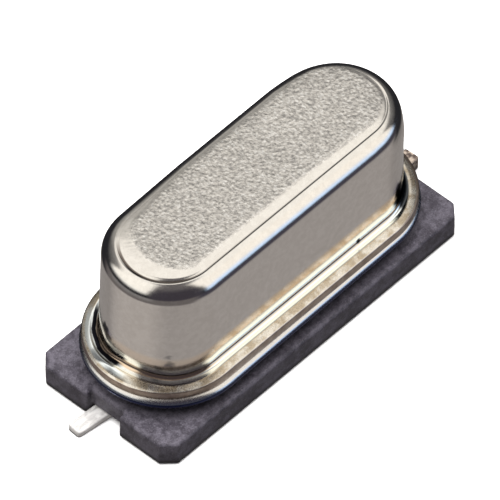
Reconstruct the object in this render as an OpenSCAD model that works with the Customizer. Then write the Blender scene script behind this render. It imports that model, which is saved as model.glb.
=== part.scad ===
// Surface-mount quartz crystal unit: a drawn metal can welded to a metal header,
// standing on a moulded insulator plate with two leads bent outwards under it.
// Long axis along X, up along Z. Origin at the centre of the plane the leads rest on.

/* [Insulator plate] */
// Length of the plate
plate_l = 11.4; // [11:0.1:12]
// Width of the plate
plate_w = 4.7; // [4.6:0.05:5]
// Thickness of the plate
plate_t = 0.75; // [0.7:0.01:0.85]
// Corner chamfer of the plate, seen from above
plate_corner = 0.36; // [0.2:0.02:0.5]
// Edge break along the top of the plate
plate_edge = 0.1; // [0.05:0.01:0.12]
// Width of the lead notch in each short side
notch_w = 1.14; // [1.14:0.02:1.4]
// Depth of the lead notch in each short side
notch_d = 0.22; // [0.2:0.02:0.4]
// Width of the lead channel in the underside
channel_w = 1.12; // [1.08:0.01:1.13]
// Depth of the lead channel in the underside
channel_d = 0.22; // [0.2:0.01:0.25]

/* [Leads] */
// Diameter of the round wire
wire_d = 0.43; // [0.4:0.01:0.46]
// Distance between the two wires
wire_pitch = 4.88; // [4.8:0.01:4.9]
// Bend radius of the wire's centre line
bend_r = 0.32; // [0.3:0.01:0.34]
// Width of the flattened foot, where the flattening ends
foot_w = 0.54; // [0.5:0.01:0.56]
// Width of the foot at its tip
tip_w = 0.45; // [0.4:0.01:0.48]
// Thickness of the flattened foot
foot_t = 0.2; // [0.18:0.01:0.24]
// Overall length over both feet
overall_l = 13; // [12.6:0.1:13.4]
// Height of the solder left on the end of the right foot
solder_h = 0.4; // [0.3:0.02:0.44]
// How far the feet stand proud of the plate's underside
foot_proud = 0.05; // [0.02:0.01:0.08]
// Sideways skew of the left foot, in degrees
skew_left = 5; // [0:1:5]
// Sideways skew of the right foot, in degrees
skew_right = 3; // [0:1:5]

/* [Header] */
// Height of the flange's underside above the plate
header_gap = 0.41; // [0.38:0.01:0.5]
// Thickness of the header flange
header_flange_t = 0.33; // [0.3:0.01:0.36]
// End radius of the header flange
header_r = 2.26; // [2.24:0.01:2.3]
// Radius of each glass seal
seal_r = 0.6; // [0.55:0.05:0.7]

/* [Can] */
// Overall height from the feet to the top of the can
overall_h = 5.15; // [4.9:0.05:5.4]
// Length of the can's straight part, between its end centres
can_straight = 6.44; // [6.36:0.02:6.5]
// Outer end radius of the can wall
can_r = 1.76; // [1.74:0.01:1.8]
// Sheet thickness of the can
can_t = 0.18; // [0.15:0.01:0.2]
// Outer edge radius round the top
top_r = 0.48; // [0.4:0.02:0.6]
// Height of the coined panel that stands above the edge radius
panel_h = 0.04; // [0.02:0.01:0.06]
// Concave radius where the wall turns into the flange
flare_r = 0.16; // [0.14:0.01:0.18]
// Height of the foot, from the weld plane to the bottom of the wall
foot_h = 0.46; // [0.44:0.01:0.5]
// Slope of the flange's upper face, in degrees
flange_slope = 20; // [16:1:24]
// End radius of the can flange
can_flange_r = 2.17; // [2.15:0.01:2.2]
// Radius of the lip squeezed up along the flange's edge by the weld
lip_r = 0.04; // [0.03:0.005:0.05]

/* [Resonator] */
// Length of the quartz blank
blank_l = 8; // [7.6:0.1:8.2]
// Width of the quartz blank
blank_w = 2; // [1.6:0.1:2.2]
// Thickness of the quartz blank
blank_t = 0.17; // [0.15:0.01:0.2]
// Height of the blank's underside above the feet
blank_z = 3.4; // [3.3:0.05:3.6]
// Thickness of the clip strip
clip_t = 0.1; // [0.08:0.01:0.12]

/* [Hidden] */
$fn = 96;

wire_r = wire_d / 2;
wire_x = wire_pitch / 2;
end_x = can_straight / 2;            // end centres shared by the can and the header
plate_z0 = foot_proud;
plate_z1 = plate_z0 + plate_t;
flange_z0 = plate_z1 + header_gap;   // underside of the header flange
flange_z1 = flange_z0 + header_flange_t;   // weld plane
flare_z = flange_z1 + foot_h;        // where the wall starts
header_top = flange_z1 + 0.45;       // raised plateau inside the can
plateau_r = can_r - can_t - 0.04;
boss_r = 1.66;                       // lower body that stands on the plate
seal_z0 = plate_z1 + 0.06;
seal_z1 = header_top + 0.08;
pin_top = blank_z - 0.35;
elbow_z = wire_r + 0.015 + bend_r;
flat_x0 = wire_x + bend_r;           // start of the flattening
flat_x1 = flat_x0 + 0.75;            // end of the flattening
foot_x = overall_l / 2;
electrode_t = 0.02;
blank_top = blank_z + blank_t;
eps = 0.01;

// ---- helpers ----

// Sweeps a half profile (radius, height) round a stadium with end centres at +-end_x.
module stadium_sweep() {
    for (s = [-1, 1]) translate([s * end_x, 0, 0]) rotate_extrude() children();
    rotate([90, 0, 90]) linear_extrude(height = 2 * end_x, center = true)
        union() { children(); mirror([1, 0]) children(); }
}

// Rectangle in a half profile from radius r0 to r1 and height z0 to z1.
module band(r0, r1, z0, z1) {
    translate([r0, z0]) square([r1 - r0, z1 - z0]);
}

// Outline of the plate, seen from above.
module plate_outline(inset = 0) {
    hx = plate_l / 2 - inset;
    hy = plate_w / 2 - inset;
    c = plate_corner - inset * 0.586;
    n = notch_w / 2 + inset;
    d = notch_d + inset;
    dx = plate_l / 2 - d;
    polygon([[hx, n], [hx, hy - c], [hx - c, hy], [-hx + c, hy], [-hx, hy - c], [-hx, n],
             [-dx, n], [-dx, -n], [-hx, -n], [-hx, -hy + c], [-hx + c, -hy], [hx - c, -hy],
             [hx, -hy + c], [hx, -n], [dx, -n], [dx, n]]);
}

// ---- insulator plate ----
module insulator_base() {
    color([0.27, 0.25, 0.28])
    difference() {
        union() {
            translate([0, 0, plate_z0]) linear_extrude(height = plate_t - plate_edge) plate_outline();
            translate([0, 0, plate_z1 - plate_edge - eps]) linear_extrude(height = plate_edge / 2 + eps)
                plate_outline(plate_edge * 0.3);
            translate([0, 0, plate_z1 - plate_edge / 2 - eps]) linear_extrude(height = plate_edge / 2 + eps)
                plate_outline(plate_edge);
        }
        for (s = [-1, 1]) {
            // wire hole
            translate([s * wire_x, 0, 0]) cylinder(r = wire_r + 0.035, h = 2);
            // channel for the foot, open at the notch
            translate([s > 0 ? flat_x0 - 0.1 : -plate_l, -channel_w / 2, -1])
                cube([plate_l - flat_x0 + 0.1, channel_w, 1 + plate_z0 + channel_d]);
            // pocket for the bend
            translate([s > 0 ? wire_x - wire_r - 0.08 : -flat_x1, -channel_w / 2, -1])
                cube([flat_x1 - wire_x + wire_r + 0.08, channel_w, 1 + elbow_z + 0.06]);
        }
    }
}

// ---- header ----
module header_profile() {
    difference() {
        union() {
            band(0, boss_r, plate_z1, flange_z0 + eps);
            band(0, header_r - header_flange_t / 2, flange_z0, flange_z1);
            translate([header_r - header_flange_t / 2, (flange_z0 + flange_z1) / 2])
                circle(r = header_flange_t / 2);
            band(0, plateau_r, flange_z1 - eps, header_top);
        }
        // keeps the half profile on one side of its axis
        translate([-10, -10]) square([10, 20]);
    }
}

module header() {
    color([0.72, 0.7, 0.66])
    difference() {
        stadium_sweep() header_profile();
        for (s = [-1, 1]) translate([s * wire_x, 0, 0]) cylinder(r = seal_r, h = 6);
    }
}

// ---- glass seals ----
module glass_seal(s) {
    color([0.2, 0.34, 0.3])
    translate([s * wire_x, 0, 0])
    difference() {
        union() {
            translate([0, 0, seal_z0]) cylinder(r = seal_r, h = header_top - seal_z0);
            translate([0, 0, header_top - eps]) cylinder(r1 = seal_r - 0.05, r2 = wire_r + 0.1, h = seal_z1 - header_top + eps);
        }
        cylinder(r = wire_r, h = 6);
    }
}
module glass_seal_left() { glass_seal(-1); }
module glass_seal_right() { glass_seal(1); }

// ---- can ----
module can_outer() {
    shoulder = overall_h - panel_h;
    // end of the flare, and foot of the slope beside the lip
    tx = can_r + flare_r * (1 - sin(flange_slope));
    tz = flare_z - flare_r * cos(flange_slope);
    lx = can_flange_r - 2 * lip_r;
    lz = tz - (lx - tx) * tan(flange_slope);
    band(0, can_r - top_r, flange_z1, shoulder);
    band(0, can_r, flange_z1, shoulder - top_r);
    intersection() {
        translate([can_r - top_r, shoulder - top_r]) circle(r = top_r);
        band(0, can_r + 1, shoulder - top_r, overall_h + 1);
    }
    // coined panel, with an edge that rolls down to the shoulder
    band(0, can_r - top_r - panel_h, shoulder - eps, overall_h);
    intersection() {
        translate([can_r - top_r - panel_h, overall_h - panel_h]) circle(r = panel_h);
        band(0, can_r, shoulder - eps, overall_h + 1);
    }
    // flare and sloping flange
    difference() {
        polygon([[0, flange_z1], [lx + eps, flange_z1], [lx + eps, lz - eps * tan(flange_slope)],
                 [tx, tz], [tx, flare_z], [0, flare_z]]);
        translate([can_r + flare_r, flare_z]) circle(r = flare_r);
    }
    // lip along the edge
    band(lx, can_flange_r, flange_z1, lz - 0.01);
    intersection() {
        translate([can_flange_r - lip_r, lz - 0.01]) circle(r = lip_r);
        band(0, can_flange_r + 1, lz - 0.02, overall_h);
    }
}

module can_inner() {
    ri = can_r - can_t;
    rt = top_r - can_t;
    band(0, ri - rt, flange_z1 - 1, overall_h - can_t);
    band(0, ri, flange_z1 - 1, overall_h - can_t - rt);
    intersection() {
        translate([ri - rt, overall_h - can_t - rt]) circle(r = rt);
        band(0, ri + 1, overall_h - can_t - rt, overall_h);
    }
}

module can() {
    color([0.76, 0.74, 0.7])
    difference() {
        stadium_sweep() can_outer();
        stadium_sweep() can_inner();
    }
}

// ---- leads: round pin, bend and flattened foot ----
// Foot and its flattening, as the overlap of a side outline and a plan outline.
module foot_blank(reach) {
    x0 = bend_r;
    x1 = bend_r + 0.75;
    w0 = wire_r + 0.015;
    intersection() {
        rotate([90, 0, 0]) linear_extrude(height = 2, center = true)
            polygon([[x0, 0], [reach, 0], [reach, foot_t], [x1, foot_t], [x0, 2 * w0]]);
        translate([0, 0, -1]) linear_extrude(height = 2)
            polygon([[x0, -w0], [x1, -foot_w / 2], [reach, -tip_w / 2],
                     [reach, tip_w / 2], [x1, foot_w / 2], [x0, w0]]);
    }
}

// Solder left standing on the end of a foot, clear of the plate.
module solder_lump(reach) {
    a = reach - 0.66;
    w = tip_w - 0.04;
    translate([0, w / 2, 0]) rotate([90, 0, 0]) linear_extrude(height = w)
        polygon([[a, 0.02], [a, foot_t], [a + 0.1, solder_h - 0.06], [a + 0.2, solder_h], [reach - 0.14, solder_h],
                 [reach - 0.03, solder_h - 0.1], [reach - 0.02, 0.02]]);
}

module lead(skew, solder) {
    reach = (foot_x - wire_x - tip_w / 2 * sin(abs(skew))) / cos(skew);
    color([0.85, 0.85, 0.83]) {
        translate([wire_x, 0, elbow_z]) cylinder(r = wire_r, h = pin_top - elbow_z);
        translate([wire_x, 0, 0]) rotate([0, 0, skew]) {
            // quarter bend from down to outwards
            translate([bend_r, 0, elbow_z]) intersection() {
                rotate([90, 0, 0]) rotate_extrude() translate([bend_r, 0]) circle(r = wire_r);
                translate([-2, -1, -2]) cube([2, 2, 2]);
            }
            foot_blank(reach);
            if (solder) solder_lump(reach);
        }
    }
}
module lead_left() { rotate([0, 0, 180]) lead(-skew_left, false); }
module lead_right() { lead(skew_right, true); }

// ---- spring clips: collar on the pin, arm, shelf and end stop ----
module clip(s) {
    shelf_top = s > 0 ? blank_z - electrode_t : blank_z;
    stop_x = blank_l / 2 + 0.04;
    color([0.7, 0.68, 0.64])
    mirror([s > 0 ? 0 : 1, 0, 0])
    union() {
        // collar
        difference() {
            translate([wire_x, 0, pin_top - 0.4]) cylinder(r = wire_r + clip_t, h = 0.4);
            translate([wire_x, 0, 0]) cylinder(r = wire_r, h = 6);
        }
        // web from the collar outwards and up to the shelf
        translate([wire_x + wire_r + clip_t / 2, -0.35, pin_top - 0.4]) cube([0.5, 0.7, clip_t]);
        translate([wire_x + wire_r + clip_t / 2 + 0.4, -0.35, pin_top - 0.4])
            cube([clip_t, 0.7, shelf_top - pin_top + 0.4]);
        // shelf
        translate([wire_x + wire_r + clip_t / 2 + 0.4, -0.7, shelf_top - clip_t])
            cube([stop_x + clip_t - (wire_x + wire_r + clip_t / 2 + 0.4), 1.4, clip_t]);
        // end stop
        translate([stop_x, -0.4, shelf_top - clip_t]) cube([clip_t, 0.8, clip_t + blank_t + 0.16]);
    }
}
module clip_left() { clip(-1); }
module clip_right() { clip(1); }

// ---- quartz blank ----
module quartz_blank() {
    hx = blank_l / 2; hy = blank_w / 2; c = 0.12;
    color([0.86, 0.9, 0.93, 0.6])
    translate([0, 0, blank_z]) linear_extrude(height = blank_t)
        polygon([[hx, hy - c], [hx - c, hy], [-hx + c, hy], [-hx, hy - c],
                 [-hx, -hy + c], [-hx + c, -hy], [hx - c, -hy], [hx, -hy + c]]);
}

// ---- silver electrodes, each with a tab to one end ----
module electrode(s, z) {
    translate([0, 0, z]) {
        translate([-2.2, -0.75, 0]) cube([4.4, 1.5, electrode_t]);
        translate([s > 0 ? 2.2 - eps : -blank_l / 2 + 0.02, -0.3, 0])
            cube([blank_l / 2 - 2.2 - 0.02 + eps, 0.6, electrode_t]);
    }
}
module electrode_top() { color([0.9, 0.9, 0.88]) electrode(-1, blank_top); }
module electrode_bottom() { color([0.9, 0.9, 0.88]) electrode(1, blank_z - electrode_t); }

// ---- conductive adhesive dabs that bond the blank to the end stops ----
module adhesive(s) {
    stop_x = blank_l / 2 + 0.04;
    color([0.62, 0.6, 0.56])
    difference() {
        translate([s * (blank_l / 2 - 0.1), 0, blank_top - 0.22]) sphere(r = 0.42, $fn = 64);
        translate([-10, -5, -1]) cube([20, 10, 1 + blank_top]);
        translate([s > 0 ? stop_x : -stop_x - 1, -2, 0]) cube([1, 4, 8]);
        electrode(-1, blank_top);
    }
}
module adhesive_left() { adhesive(-1); }
module adhesive_right() { adhesive(1); }

insulator_base();
header();
glass_seal_left();
glass_seal_right();
can();
lead_left();
lead_right();
clip_left();
clip_right();
quartz_blank();
electrode_top();
electrode_bottom();
adhesive_left();
adhesive_right();
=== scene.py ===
import math

import bmesh
import bpy
import numpy as np
from mathutils import Matrix, Vector, noise


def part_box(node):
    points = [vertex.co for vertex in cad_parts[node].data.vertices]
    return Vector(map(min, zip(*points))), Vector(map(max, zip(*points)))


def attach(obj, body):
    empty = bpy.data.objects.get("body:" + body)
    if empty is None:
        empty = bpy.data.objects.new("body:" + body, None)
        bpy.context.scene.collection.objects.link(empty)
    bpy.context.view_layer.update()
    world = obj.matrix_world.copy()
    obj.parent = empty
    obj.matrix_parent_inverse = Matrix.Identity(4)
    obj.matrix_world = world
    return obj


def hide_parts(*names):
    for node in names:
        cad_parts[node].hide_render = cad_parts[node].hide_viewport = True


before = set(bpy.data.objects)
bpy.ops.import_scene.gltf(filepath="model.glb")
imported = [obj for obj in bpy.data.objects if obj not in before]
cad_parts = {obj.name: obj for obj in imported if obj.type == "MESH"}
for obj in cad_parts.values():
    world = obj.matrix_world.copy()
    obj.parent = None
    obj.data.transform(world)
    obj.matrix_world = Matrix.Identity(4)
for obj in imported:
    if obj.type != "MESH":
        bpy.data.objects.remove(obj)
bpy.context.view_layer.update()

# Everything below is worked out in millimetres, in the row's own frame, and
# scaled to metres when a mesh is made.
MM = 0.001


def box_mm(node):
    lo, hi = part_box(node)
    return [round(v * 1000, 3) for v in lo], [round(v * 1000, 3) for v in hi]


can_lo, can_hi = box_mm("can")
head_lo, head_hi = box_mm("header")
base_lo, base_hi = box_mm("insulator_base")
lead_l_lo, lead_l_hi = box_mm("lead_left")
lead_r_lo, lead_r_hi = box_mm("lead_right")
seal_lo, seal_hi = box_mm("glass_seal_right")

FLANGE_R = can_hi[1]                 # end radius of the can's flange
END_X = can_hi[0] - FLANGE_R         # end centres of the stadium
CAN_R = FLANGE_R - 0.41              # end radius of the can's wall
CAN_T = 0.18
TOP_Z = can_hi[2]
WELD_Z = can_lo[2]
HEAD_R = head_hi[1]
PLATE_Z0, PLATE_Z1 = base_lo[2], base_hi[2]
RIM_Z0 = PLATE_Z1 + 0.41             # underside of the header's rim
WIRE_X = (seal_lo[0] + seal_hi[0]) / 2
SEAL_R = (seal_hi[0] - seal_lo[0]) / 2


# ---------------------------------------------------------------- meshes ----
def new_object(name, verts, faces, smooth_angle=35.0):
    """A mesh object from millimetre points. Edges sharper than smooth_angle shade as edges."""
    mesh = bpy.data.meshes.new(name)
    mesh.from_pydata([tuple(v) for v in verts], [], faces)
    bm = bmesh.new()
    bm.from_mesh(mesh)
    bmesh.ops.remove_doubles(bm, verts=bm.verts, dist=1e-5)
    bmesh.ops.dissolve_degenerate(bm, edges=bm.edges, dist=1e-6)
    bm.normal_update()
    bm.to_mesh(mesh)
    bm.free()
    mesh.transform(Matrix.Scale(MM, 4))
    mesh.shade_smooth()
    if smooth_angle:
        mesh.set_sharp_from_angle(angle=math.radians(smooth_angle))
    mesh.update()
    obj = bpy.data.objects.new(name, mesh)
    bpy.context.scene.collection.objects.link(obj)
    return obj


def apply_modifiers(obj, smooth_angle=35.0):
    dg = bpy.context.evaluated_depsgraph_get()
    mesh = bpy.data.meshes.new_from_object(obj.evaluated_get(dg))
    obj.modifiers.clear()
    old = obj.data
    obj.data = mesh
    bpy.data.meshes.remove(old)
    mesh.name = obj.name
    mesh.shade_smooth()
    mesh.set_sharp_from_angle(angle=math.radians(smooth_angle))
    return obj


def cut(obj, cutters, smooth_angle=35.0):
    """Subtracts the cutters from obj, exactly, and removes them."""
    for c in cutters:
        m = obj.modifiers.new("cut", "BOOLEAN")
        m.operation = "DIFFERENCE"
        m.solver = "EXACT"
        m.object = c
    bpy.context.view_layer.update()
    apply_modifiers(obj, smooth_angle)
    for c in cutters:
        bpy.data.objects.remove(c)
    return obj


def cylinder_mm(name, x, y, r, z0, z1, n=96):
    verts, faces = [], []
    for z in (z0, z1):
        for i in range(n):
            a = 2 * math.pi * i / n
            verts.append((x + r * math.cos(a), y + r * math.sin(a), z))
    for i in range(n):
        j = (i + 1) % n
        faces.append((i, j, n + j, n + i))
    faces.append(tuple(reversed(range(n))))
    faces.append(tuple(range(n, 2 * n)))
    return new_object(name, verts, faces)


def block_mm(name, x0, x1, y0, y1, z0, z1):
    v = [(x, y, z) for z in (z0, z1) for x, y in ((x0, y0), (x1, y0), (x1, y1), (x0, y1))]
    f = [(3, 2, 1, 0), (4, 5, 6, 7), (0, 1, 5, 4), (1, 2, 6, 5), (2, 3, 7, 6), (3, 0, 4, 7)]
    return new_object(name, v, f)


def arc(cx, cz, r, a0, a1, n):
    """Profile points on a circle. An angle of 0 is straight up and 90 is straight outwards."""
    out = []
    for i in range(n + 1):
        a = math.radians(a0 + (a1 - a0) * i / n)
        out.append((cx + r * math.sin(a), cz + r * math.cos(a)))
    return out


def line(p, q, n):
    return [(p[0] + (q[0] - p[0]) * i / n, p[1] + (q[1] - p[1]) * i / n) for i in range(n + 1)]


def track(n_arc, n_side):
    """For each point of a stadium ring: its end or side centre along X, and the outward direction."""
    out = []
    for i in range(n_arc + 1):
        a = -math.pi / 2 + math.pi * i / n_arc
        out.append((END_X, math.cos(a), math.sin(a)))
    for j in range(1, n_side):
        out.append((END_X - 2 * END_X * j / n_side, 0.0, 1.0))
    for i in range(n_arc + 1):
        a = math.pi / 2 + math.pi * i / n_arc
        out.append((-END_X, math.cos(a), math.sin(a)))
    for j in range(1, n_side):
        out.append((-END_X + 2 * END_X * j / n_side, 0.0, -1.0))
    return out


def stadium_loft(name, profile, n_arc, n_side, closed=True, lift=None, smooth_angle=35.0):
    """Sweeps a profile of (radius, height) points round the stadium. lift(x, y, r, z, k) returns a moved point."""
    ring = track(n_arc, n_side)
    n = len(ring)
    verts, faces = [], []
    for k, (r, z) in enumerate(profile):
        for cx, dx, dy in ring:
            x, y = cx + r * dx, r * dy
            verts.append(lift(x, y, r, z, k, dx, dy) if lift else (x, y, z))
    rows = len(profile)
    for i in range(rows if closed else rows - 1):
        a, b = i * n, ((i + 1) % rows) * n
        if profile[i][0] == 0 and profile[(i + 1) % rows][0] == 0:
            continue
        for k in range(n):
            m = (k + 1) % n
            faces.append((a + k, a + m, b + m, b + k))
    return new_object(name, verts, faces, smooth_angle)


# ------------------------------------------------------------ can shell ----
RIM_TOP = WELD_Z                     # top of the header's rim, where the can is welded on
FLARE_Z = RIM_TOP + 0.475            # bottom of the wall
UNDERCUT = 0.012                     # how far the foot of the wall draws in
EDGE_R = 2.187                       # end radius of the can's flange
TOP_R = 0.48                         # radius round the top edge
SHOULDER_Z = TOP_Z - 0.035           # height at which that radius starts
CREASE_R = CAN_R - TOP_R             # end radius at which it ends
GROOVE_R = CREASE_R + 0.012          # bottom of the crease inside it
GROOVE_Z = SHOULDER_Z - 0.016


def walk(start, tilt, moves):
    """Profile points that run outwards and down. Each move is (length, tilt at its end, steps); a tilt of 0 runs
    level, 90 runs straight down, and below 0 it climbs."""
    r, z = start
    pts = []
    for length, end, n in moves:
        for i in range(n):
            a = math.radians(tilt + (end - tilt) * (i + 0.5) / n)
            r += math.cos(a) * length / n
            z -= math.sin(a) * length / n
            pts.append((r, z))
        tilt = end
    return pts


def can_profile():
    # foot: flare, level gutter, sloping flange and its rounded edge
    r0 = CAN_R - UNDERCUT
    foot = walk((r0, FLARE_Z), 92, [
        (0.020, 74, 4), (0.062, 57, 7), (0.088, 12, 9), (0.030, -4, 3), (0.066, -9, 4), (0.030, 20, 4),
        (0.140, 28, 7), (0.066, 88, 10)])
    # let the walk end on the flange's edge
    k = (EDGE_R - r0) / (foot[-1][0] - r0)
    foot = [(r0 + (r - r0) * k, z) for r, z in foot]
    p = []
    p += line((CAN_R - CAN_T, RIM_TOP), (EDGE_R - 0.03, RIM_TOP), 6)
    p += arc(EDGE_R - 0.03, RIM_TOP + 0.02, 0.02, 165, 90, 4)
    p += line((EDGE_R - 0.008, RIM_TOP + 0.035), (EDGE_R, foot[-1][1] - 0.012), 4)
    p += reversed(foot)
    # wall
    for i in range(12):
        t = (i + 0.3) / 12
        p.append((CAN_R - UNDERCUT * (1 - t) ** 2, FLARE_Z + 0.75 * t))
    p += line((CAN_R, FLARE_Z + 0.76), (CAN_R, SHOULDER_Z - TOP_R - 0.02), 18)
    fillet_start = len(p)
    # edge radius
    p += arc(CREASE_R, SHOULDER_Z - TOP_R, TOP_R, 90, 8.5, 34)
    # crease, where the drawn radius meets the coined panel
    g, gz = GROOVE_R, GROOVE_Z
    p += [(g + 0.052, gz + 0.0102), (g + 0.043, gz + 0.0088), (g + 0.034, gz + 0.0071), (g + 0.024, gz + 0.0046),
          (g + 0.016, gz + 0.0020), (g + 0.008, gz - 0.0002), (g + 0.000, gz - 0.0006), (g - 0.012, gz + 0.0012)]
    crease_end = len(p)
    # smooth band that rises to the panel, then the panel itself
    r = g - 0.024
    while r > 0.02:
        p.append((r, None))
        r -= 0.030
    p.append((0.0, None))
    top_end = len(p)
    # inside of the shell
    ri, rt, zi = CAN_R - CAN_T, TOP_R - CAN_T, TOP_Z - CAN_T
    p.append((0.0, zi))
    p += line((0.4, zi), (ri - rt - 0.02, zi), 3)
    p += arc(ri - rt, zi - rt, rt, 0, 90, 8)
    p += line((ri, zi - rt - 0.05), (ri, RIM_TOP + 0.02), 6)
    return p, fillet_start, crease_end, top_end


def struck(dx, dy):
    """How hard the punch that coined the top struck: fully at the front and the left end, lightly behind."""
    return min(1.0, max(0.10, 0.52 - 0.75 * dy - 0.33 * dx))


def edge_scale(x, dx, dy):
    """Radius round the top edge, as a share of TOP_R: tighter along the far side, where the punch didn't spread it."""
    far = min(1.0, max(0.0, dy + 0.25))
    along = min(1.0, max(0.0, (x + 3.4) / 2.4))
    cap = min(1.0, max(0.0, (3.5 - x) / 1.0))
    return 1.0 - 0.34 * far * (0.25 + 0.75 * along) * cap


def dent(dx, dy):
    """How deep the crease is: deepest round the left end."""
    front = min(1.0, max(0.0, -dy / 0.6))
    return 0.72 * front * front * (3 - 2 * front) + 2.6 * max(0.0, -dx) ** 1.5 * min(1.0, 1.15 - 1.1 * max(0.0, dy))


def end_shift(x, r, z):
    """The drawn wall spreads a little downwards at both ends, and the flange sits slightly to the left of it."""
    w = min(1.0, max(0.0, (abs(x) - 2.5) / 1.2))
    w = w * w * (3 - 2 * w)
    draft = 0.048 * min(1.0, max(0.0, (SHOULDER_Z - 0.5 - z) / 2.3))
    out = min(1.0, max(0.0, (r - 1.80) / 0.28)) if z < FLARE_Z + 0.05 else 0.0
    far = 0.088 if x < 0 else -0.045
    top = 0.030 * min(1.0, max(0.0, (z - 3.6) / 0.8)) * min(1.0, max(0.0, (r - 1.0) / 0.5)) if x > 0 else 0.0
    return math.copysign(w * (draft * (1 - out) + far * out + top), x)


def rise(dx, dy):
    """The foot of the wall climbs again at the very left."""
    return 0.15 * (max(0.0, -dx - 0.65) / 0.35) ** 1.5 * min(1.0, max(0.0, (0.45 - dy) / 0.45))


def shoulder_lift(dx, dy):
    """The edge stands a little higher where the punch struck lightly."""
    return 0.024 * (1 - struck(dx, dy))


def rescale(r, rho):
    """Moves a radius of the top outwards to meet an edge radius scaled by rho."""
    inner = CAN_R - TOP_R * rho
    return r * inner / CREASE_R if r < CREASE_R else CAN_R - (CAN_R - r) * rho


def panel_z(r, dx, dy):
    """Height of the top, from the crease inwards: a band that rises and flattens into the panel. It is wider at
    the two ends, where dx is the outward direction's share along the can."""
    width = 0.36 + 0.32 * abs(dx)
    t = min(1.0, max(0.0, (GROOVE_R - 0.010 - r) / width))
    ease = 1 - (1 - t) ** 1.75
    edge = SHOULDER_Z + shoulder_lift(dx, dy) - 0.015 * struck(dx, dy)
    return edge + (TOP_Z - 0.003 - edge) * ease


profile, K_FILLET, K_CREASE, K_TOP = can_profile()


def grain(x, y, scale, seed):
    return noise.noise(Vector((x * scale, y * scale, seed)))


LEAN = 0.048                         # how far the right end leans in at the top of its wall


def can_lift(x, y, r, z, k, dx, dy):
    if K_CREASE <= k < K_TOP:
        # relief of the coined panel, fading out across the band
        z = panel_z(r, dx, dy)
        fade = min(1.0, max(0.0, (GROOVE_R - (0.20 + 0.22 * abs(dx)) * struck(dx, dy) - r) / 0.16))
        h = 0.0010 * grain(x, y, 12.0, 3.1) + 0.0012 * grain(x, y, 19.0, 8.7)
        h += 0.0026 * grain(x, y, 0.9, 5.5)
        z = min(TOP_Z, z + fade * h)
        near = max(0.0, 1 - (GROOVE_R - r) / (0.055 + 0.035 * max(0.0, -dx)))
        z -= 0.009 * dent(dx, dy) * min(1.0, near) if r < GROOVE_R else 0.0
        m = rescale(r, edge_scale(x, dx, dy)) - r
        x, y = x + dx * m, y + dy * m
    elif K_FILLET <= k < K_CREASE:
        s = struck(dx, dy)
        wide = 0.045 * max(0.0, -dx)
        if r < CREASE_R + 0.075 + wide:
            # a fold as deep as the punch made it
            f = min(1.0, (CREASE_R + 0.075 + wide - r) / (0.050 + wide))
            z -= 0.009 * dent(dx, dy) * f * f * (3 - 2 * f)
        if r < CREASE_R + 0.06:
            # the crease is shallow where the punch struck lightly
            level = SHOULDER_Z - 0.004 * (r - CREASE_R) / 0.06
            z = z * s + level * (1 - s)
        side = min(1.0, max(0.0, (x - 2.9) / 1.1)) * max(0.0, (r - CREASE_R) / TOP_R)
        up = min(1.0, max(0.0, (z - SHOULDER_Z + TOP_R) / TOP_R))
        lean = side * (LEAN + 0.16 * LEAN / 0.048 * up * TOP_R * (1 - up) ** 2)
        z += shoulder_lift(dx, dy) * min(1.0, (z - SHOULDER_Z + TOP_R) / TOP_R)
        rho = edge_scale(x, dx, dy)
        m = rescale(r, rho) - r - lean
        x, y = x + dx * m, y + dy * m
        if z < SHOULDER_Z:
            z = SHOULDER_Z - (SHOULDER_Z - z) * rho
    elif FLARE_Z + 0.1 < z < SHOULDER_Z - TOP_R and r > CAN_R - 0.01:
        # the drawn wall is never quite flat
        w = 0.0016 * grain(x + y, z, 0.55, 2.3) + 0.0005 * grain(x + y, z, 2.6, 6.1)
        x, y = x + dx * w, y + dy * w
        # the right end leans in a little under the edge
        lean = min(1.0, max(0.0, (x - 2.9) / 1.1)) * max(0.0, (z - 4.035) / 0.6) ** 2
        x, y = x - dx * LEAN * lean, y - dy * LEAN * lean
    if k < K_FILLET:
        # the foot of the wall comes down lower round the left end, with a groove outside it
        left = min(1.0, max(0.0, (-x - 3.0) / 1.2))
        left = left * left * (3 - 2 * left)
        z0 = z
        fade = min(1.0, max(0.0, (FLARE_Z + 1.0 - z) / 1.0))
        z -= 0.085 * left * min(1.0, max(0.0, (z - 1.62) / 0.30)) * fade
        z += rise(dx, dy) * min(1.0, max(0.0, (2.13 - r) / 0.12)) * fade if r > CAN_R - 0.05 and z0 > RIM_TOP + 0.1 else 0.0
        if z0 < FLARE_Z - 0.05:
            z -= 0.014 * min(1.0, max(0.0, -dx * 1.3 - 0.25)) * math.exp(-((r - 1.925) / 0.040) ** 2)
    return (x + (end_shift(x, r, z) if r > 1.0 else 0.0), y, z)


can = stadium_loft("can_shell", profile, 104, 130, lift=can_lift, smooth_angle=60)

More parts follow.
